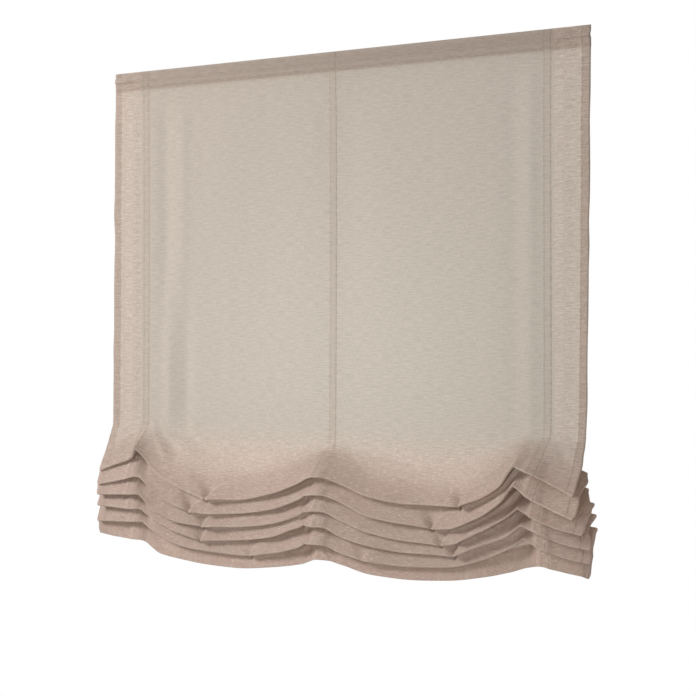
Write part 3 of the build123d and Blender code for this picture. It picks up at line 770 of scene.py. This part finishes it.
def finish_of(slot):
    """The finish of a CAD material slot, made once."""
    if slot not in MADE:
        maker, *values = FINISHES[slot]
        MADE[slot] = maker(*values)
    return MADE[slot]


# ---------------------------------------------------------------- settings


def length(name, description, default):
    """A length in metres that the user may change."""
    return bpy.props.FloatProperty(
        name=name, description=description, default=default, unit="LENGTH"
    )


def colour(name, description, code):
    """A colour that the user may change."""
    return bpy.props.FloatVectorProperty(
        name=name, description=description, default=srgb(code), size=4, subtype="COLOR"
    )


class BlindCloth(bpy.types.PropertyGroup):
    """Sizes and colours of the cloth."""

    side_hem: length("Side hem", "Width of the turned side hems", 0.020)
    header_hem: length("Header hem", "Depth of the turned header", 0.048)
    bottom_hem: length("Bottom hem", "Depth of the turned bottom hem", 0.052)
    stitch_inset: length("Stitch inset", "From a tape's middle to its stitches", 0.0085)
    tier_bulge: length("Tier bulge", "How far the tiers belly out", 0.009)
    header_ledge: length("Header ledge", "From the top to the ledge under the header", 0.039)
    pucker_depth: length("Pucker depth", "Depth of the side hems' puckers", 0.0022)
    ripple_depth: length("Ripple depth", "Depth of the soft folds beside the tapes", 0.0045)
    unevenness: length("Unevenness", "How uneven the hanging cloth is", 0.004)
    edge_flare: length("Edge flare", "How far the folds' lower edges turn out", 0.0022)
    tape_ridge: length("Tape ridge", "How far the tiers fall back beside a tape", 0.005)
    crease_depth: length("Crease depth", "Depth of the creases along the tiers", 0.0014)
    translucence: bpy.props.FloatProperty(
        name="Translucence", description="Share of the light that passes",
        default=0.29, subtype="FACTOR",
    )
    light_thread: colour("Light thread", "Colour of the weave's light threads", "#D7C5B8")
    dark_thread: colour("Dark thread", "Colour of the weave's dark threads", "#AD998D")
    passed_light: colour("Passed light", "Colour of the light that comes through", "#C3C5BA")


class BlindHardware(bpy.types.PropertyGroup):
    """Sizes of the small pieces behind the cloth."""

    ring_section: length("Ring section", "Thickness of a cord ring", 0.0018)
    ring_radius: length("Ring radius", "Outer radius of a cord ring", 0.006)
    stop_length: length("Stop length", "Length of a cord stop", 0.012)
    cord_diameter: length("Cord diameter", "Diameter of a lift cord", 0.0014)


# ---------------------------------------------------------------- pieces


class BLIND_OT_cloth(bpy.types.Operator):
    """Makes the cloth with its hems and swagged folds"""

    bl_idname = "blind.cloth"
    bl_label = "Cloth"

    def execute(self, context):
        cloth = settings()
        places = columns()
        front, lengths, creases = drape(0.0, places)
        layers = (self.header_layer(front), front, self.bottom_layer(front, lengths))
        whole = np.concatenate(layers, axis=1)
        steps = np.linalg.norm(np.diff(whole, axis=1), axis=2)
        along = np.concatenate((np.zeros((len(places), 1)), np.cumsum(steps, axis=1)), axis=1)
        across = [
            (2 * HALF_WIDTH - abs(x)) * math.copysign(1, x) if back else x for x, back in places
        ]
        marks = self.marks(places, whole, along, creases)
        piece = grid_object("linen_cloth", whole, across, along, marks)
        voile = linen(
            "Linen-look voile", cloth.light_thread, cloth.dark_thread, cloth.passed_light,
            cloth.translucence,
        )
        piece.data.materials.append(voile)
        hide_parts("fabric_panel")
        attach(piece, "frame")
        return {"FINISHED"}

    def header_layer(self, grid):
        """The header hem behind the front, from its lower edge up to the top."""
        rows = []
        for share in np.linspace(1, 0, HEADER_HEM_ROWS):
            row = grid[:, 0].copy()
            row[:, 2] -= settings().header_hem * share
            for place, front in zip(row, grid[:, :FOLLOWED_ROWS]):
                place[1] = LAYER + np.interp(-place[2], -front[:, 2], front[:, 1])
            rows.append(row)
        return np.stack(rows, axis=1)

    def bottom_layer(self, grid, lengths):
        """The bottom hem behind the front, from the lower edge up."""
        rows = []
        for share in np.linspace(0, 1, BOTTOM_HEM_ROWS):
            row = grid[:, -1].copy()
            for place, front, run in zip(row, grid, lengths):
                at = run[-1] - settings().bottom_hem * share
                place[:] = [np.interp(at, run, front[:, axis]) for axis in range(3)]
            row[:, 1] += 1.5 * LAYER
            rows.append(row)
        return np.stack(rows, axis=1)

    def marks(self, places, whole, along, creases):
        """What the cloth's finish reads at each point: sewn lines, the painted highlights along the
        folds' edges, layers turned to the back, and where the cloth lies in tiers or is unlit from
        behind, which steers the painted light."""
        cloth = settings()
        seams = np.zeros(creases.shape)
        seams[:] = [[0.0 if back else seam_share(x)] for x, back in places]
        hems = ((0, 0), (HEADER_HEM_ROWS, BOTTOM_HEM_ROWS))
        seams, creases = np.pad(seams, hems), np.pad(creases, hems)
        # Lines sewn across, under the header hem and above the bottom hem
        total = along[:, -1:] - cloth.bottom_hem
        header_line = 2 * cloth.header_hem - HEM_STITCH
        for line in (header_line, total - cloth.bottom_hem + HEM_STITCH):
            seams = np.maximum(seams, np.clip(1 - np.abs(along - line) / SEAM_HALF, 0, 1))
        turned = np.zeros(seams.shape)
        turned[[column for column, (_, back) in enumerate(places) if back]] = 1
        turned[:, :HEADER_HEM_ROWS] = 1
        tiers = step(CLOTH_TOP - whole[:, :, 2], *BUNCHED_DROPS)
        strips = STRIP_SHARE * step(np.abs(whole[:, :, 0]), *STRIP_PLACES)
        bunched_or_unlit = np.maximum(tiers, strips)
        return {"seam": seams * 0.5, "edge_highlight": creases, "turned": turned, "bunched_or_unlit": bunched_or_unlit}


class BLIND_OT_tapes(bpy.types.Operator):
    """Makes the three tapes sewn to the back of the cloth"""

    bl_idname = "blind.tapes"
    bl_label = "Tapes"

    def execute(self, context):
        cloth = settings()
        inset = cloth.stitch_inset
        for side, place in TAPES.items():
            name = f"tape_{side}"
            asides = (-TAPE_HALF, -inset, -inset / 2, 0, inset / 2, inset, TAPE_HALF)
            places = [(place + aside, 0) for aside in asides]
            grid, along, creases = drape(TAPE_BEHIND, places)
            # From the lower edge of the header hem to just above the bottom hem
            start = int(np.searchsorted(along[0], cloth.header_hem))
            stop = int(np.searchsorted(along[0], along[0][-1] - cloth.bottom_hem - TAPE_CLEAR))
            grid, along, creases = (values[:, start:stop] for values in (grid, along, creases))
            seams = np.zeros(grid.shape[:2])
            seams[[1, -2]] = 0.5
            # The tapes carry the painted highlight along the folds' edges too
            marks = {"seam": seams, "edge_highlight": creases}
            piece = grid_object(f"sewn_{name}", grid, [x for x, _ in places], along, marks)
            piece.data.materials.append(finish_of("tape"))
            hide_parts(name)
            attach(piece, "frame")
        return {"FINISHED"}


def spun_object(name, profile, places):
    """A mesh object with a closed profile of points, each out and up from a place, spun about the
    upright axis at every place."""
    shape = bmesh.new()
    for x, y, z in places:
        corners = [shape.verts.new((x + out, y, z + up)) for out, up in profile]
        edges = [shape.edges.new(pair) for pair in zip(corners, corners[-1:] + corners[:-1])]
        bmesh.ops.spin(
            shape, geom=corners + edges, cent=(x, y, z), axis=(0, 0, 1), steps=SPIN_STEPS,
            angle=2 * math.pi, use_merge=True,
        )
    bmesh.ops.recalc_face_normals(shape, faces=shape.faces)
    for face in shape.faces:
        face.smooth = True
    return mesh_object(name, shape)


class BLIND_OT_cords(bpy.types.Operator):
    """Makes the lift cords, the rings that they run through and the stops at their ends"""

    bl_idname = "blind.cords"
    bl_label = "Cords, rings and stops"

    def execute(self, context):
        sizes = context.scene.blind_hardware
        stops = []
        front, back = (corner[1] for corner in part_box("cord_stops"))
        for side, place in TAPES.items():
            name = f"lift_cord_{side}"
            low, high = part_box(name)
            depth = (low[1] + high[1]) / 2
            self.add_cord(name, place, depth, low[2], high[2], sizes.cord_diameter)
            stops.append((place, (front + back) / 2, low[2] + CORD_TAIL))
        # Rings, sewn to the tapes at the upper edge of each fold
        rings = []
        for place in TAPES.values():
            for centre, radius, _ in bends(place)[2::2]:
                rings.append((place, centre[0] + radius + RING_GAP + sizes.ring_radius, centre[1]))
        half = sizes.ring_section / 2
        middle = sizes.ring_radius - half
        turns = [2 * math.pi * count / SECTION_STEPS for count in range(SECTION_STEPS)]
        profile = [(middle + half * math.cos(turn), half * math.sin(turn)) for turn in turns]
        self.finish_piece(spun_object("round_rings", profile, rings), "cord_rings")
        # Stops: short barrels with a bore, rounded at both ends
        bore = sizes.cord_diameter / 2 + 0.1 * MM
        insets = ((0.8 * MM, 0), (0.2 * MM, 0.3 * MM), (0, 1 * MM))
        profile = [(bore, 0)] + [(STOP_RADIUS - inset, up) for inset, up in insets]
        profile += [(out, sizes.stop_length - up) for out, up in reversed(profile)]
        self.finish_piece(spun_object("cord_barrels", profile, stops), "cord_stops")
        return {"FINISHED"}

    def add_cord(self, name, place, depth, low, high, diameter):
        """A taut cord, straight down from its spool through the rings to its stop."""
        curve = bpy.data.curves.new(f"taut_{name}", "CURVE")
        curve.dimensions = "3D"
        curve.bevel_depth = diameter / 2
        curve.bevel_resolution = 3
        curve.use_fill_caps = True
        spline = curve.splines.new("NURBS")
        heights = (high, high - 60 * MM, low + 24 * MM, low)
        spline.points.add(len(heights) - 1)
        for point, height in zip(spline.points, heights):
            point.co = (place, depth, height, 1)
        spline.order_u = 3
        spline.use_endpoint_u = True
        cord = bpy.data.objects.new(f"taut_{name}", curve)
        bpy.context.collection.objects.link(cord)
        curve.materials.append(finish_of("cord"))
        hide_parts(name)
        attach(cord, "frame")

    def finish_piece(self, piece, node):
        """Gives a piece its finish and lets it stand for its CAD node."""
        piece.data.materials.append(finish_of("clear_plastic"))
        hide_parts(node)
        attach(piece, "frame")


class BLIND_OT_hardware(bpy.types.Operator):
    """Gives the rail, the brackets, the drive, the spools and the header's tapes their finishes"""

    bl_idname = "blind.hardware"
    bl_label = "Rail and fittings"

    def execute(self, context):
        for part in frame["record"]["subparts"]:
            if part["material_slot"] in ("cloth", "tape"):
                continue
            node = frame["nodes"][part["node"]]
            material = finish_of(part["material_slot"])
            for place in node.material_slots:
                place.material = material
        return {"FINISHED"}


class BLIND_OT_stage(bpy.types.Operator):
    """Sets the floor, the soft studio light and the camera of the photograph"""

    bl_idname = "blind.stage"
    bl_label = "Stage"

    def execute(self, context):
        scene = context.scene
        scene.view_settings.view_transform = "Standard"
        self.add_camera(scene)
        self.add_world(scene)
        self.add_floor()
        for lamp in LAMPS:
            self.add_lamp(*lamp)
        return {"FINISHED"}

    def add_camera(self, scene):
        """A level camera, 35 degrees to the right of square on, with the photograph's lens."""
        camera = bpy.data.objects.new("camera", bpy.data.cameras.new("camera"))
        camera.data.lens = 102.46
        camera.data.sensor_width = 36
        camera.location = (2.692, -3.839, -0.6745)
        camera.rotation_euler = (math.radians(90), 0, math.radians(35))
        scene.collection.objects.link(camera)
        scene.camera = camera

    def add_world(self, scene):
        """A soft grey-white surround that looks white to the camera."""
        world = bpy.data.worlds.new("studio")
        world.use_nodes = True
        tree = world.node_tree
        tree.nodes.clear()
        path = add_node(tree, "ShaderNodeLightPath")
        seen = path.outputs["Is Camera Ray"]
        for kind in ("Glossy", "Transmission"):
            seen = add_node(
                tree, "ShaderNodeMath", [(0, seen), (1, path.outputs[f"Is {kind} Ray"])],
                operation="MAXIMUM",
            ).outputs[0]
        soft = add_node(tree, "ShaderNodeBackground", Color=srgb("#FFFFFF"), Strength=0.255)
        white = add_node(tree, "ShaderNodeBackground", Color=srgb("#FFFFFF"), Strength=1.0)
        mixed = add_node(
            tree, "ShaderNodeMixShader",
            [(0, seen), (1, soft.outputs[0]), (2, white.outputs[0])],
        )
        output = add_node(tree, "ShaderNodeOutputWorld")
        tree.links.new(mixed.outputs[0], output.inputs["Surface"])
        scene.world = world

    def add_floor(self):
        """A pale floor, far below the blind, that looks white and keeps the blind's shadow."""
        shape = bmesh.new()
        bmesh.ops.create_grid(shape, x_segments=1, y_segments=1, size=2.2)
        floor = mesh_object("floor", shape)
        floor.location = (0, 0, -2.1)
        material, tree, output = new_material("Pale painted floor")
        path = add_node(tree, "ShaderNodeLightPath")
        matt = add_node(tree, "ShaderNodeBsdfDiffuse", Color=srgb("#F2F1EF"))
        white = add_node(tree, "ShaderNodeEmission", Color=srgb("#FFFFFF"), Strength=1.0)
        share = add_node(
            tree, "ShaderNodeMath", [(0, path.outputs["Is Camera Ray"])], operation="MULTIPLY"
        )
        share.inputs[1].default_value = 0.88
        mixed = add_node(
            tree, "ShaderNodeMixShader",
            [(0, share.outputs[0]), (1, matt.outputs[0]), (2, white.outputs[0])],
        )
        tree.links.new(mixed.outputs[0], output.inputs["Surface"])
        floor.data.materials.append(material)

    def add_lamp(self, name, place, width, height, power):
        """A large soft lamp that faces the middle of the blind."""
        data = bpy.data.lights.new(name, "AREA")
        data.shape = "RECTANGLE"
        data.size = width
        data.size_y = height
        data.energy = power
        lamp = bpy.data.objects.new(name, data)
        lamp.location = place
        aim = Vector((0, 0, -0.6)) - lamp.location
        lamp.rotation_euler = aim.to_track_quat("-Z", "Y").to_euler()
        lamp.visible_camera = False
        bpy.context.collection.objects.link(lamp)


class BLIND_PT_panel(bpy.types.Panel):
    """Lists the blind's pieces and settings"""

    bl_idname = "BLIND_PT_panel"
    bl_label = "Roman Blind"
    bl_space_type = "VIEW_3D"
    bl_region_type = "UI"
    bl_category = "Roman Blind"

    def draw(self, context):
        for group in (context.scene.blind_cloth, context.scene.blind_hardware):
            for name in group.__annotations__:
                self.layout.prop(group, name)
        for piece in PIECES:
            self.layout.operator(piece.bl_idname)


PIECES = (BLIND_OT_stage, BLIND_OT_cords, BLIND_OT_cloth, BLIND_OT_tapes, BLIND_OT_hardware)
CLASSES = (BlindCloth, BlindHardware, *PIECES, BLIND_PT_panel)


def register():
    for item in CLASSES:
        bpy.utils.register_class(item)
    bpy.types.Scene.blind_cloth = bpy.props.PointerProperty(type=BlindCloth)
    bpy.types.Scene.blind_hardware = bpy.props.PointerProperty(type=BlindHardware)


def unregister():
    del bpy.types.Scene.blind_hardware
    del bpy.types.Scene.blind_cloth
    for item in reversed(CLASSES):
        bpy.utils.unregister_class(item)


def main():
    """Makes every piece and the stage."""
    register()
    bpy.ops.blind.stage()
    bpy.ops.blind.cords()
    bpy.ops.blind.cloth()
    bpy.ops.blind.tapes()
    bpy.ops.blind.hardware()


if __name__ == "__main__":
    main()
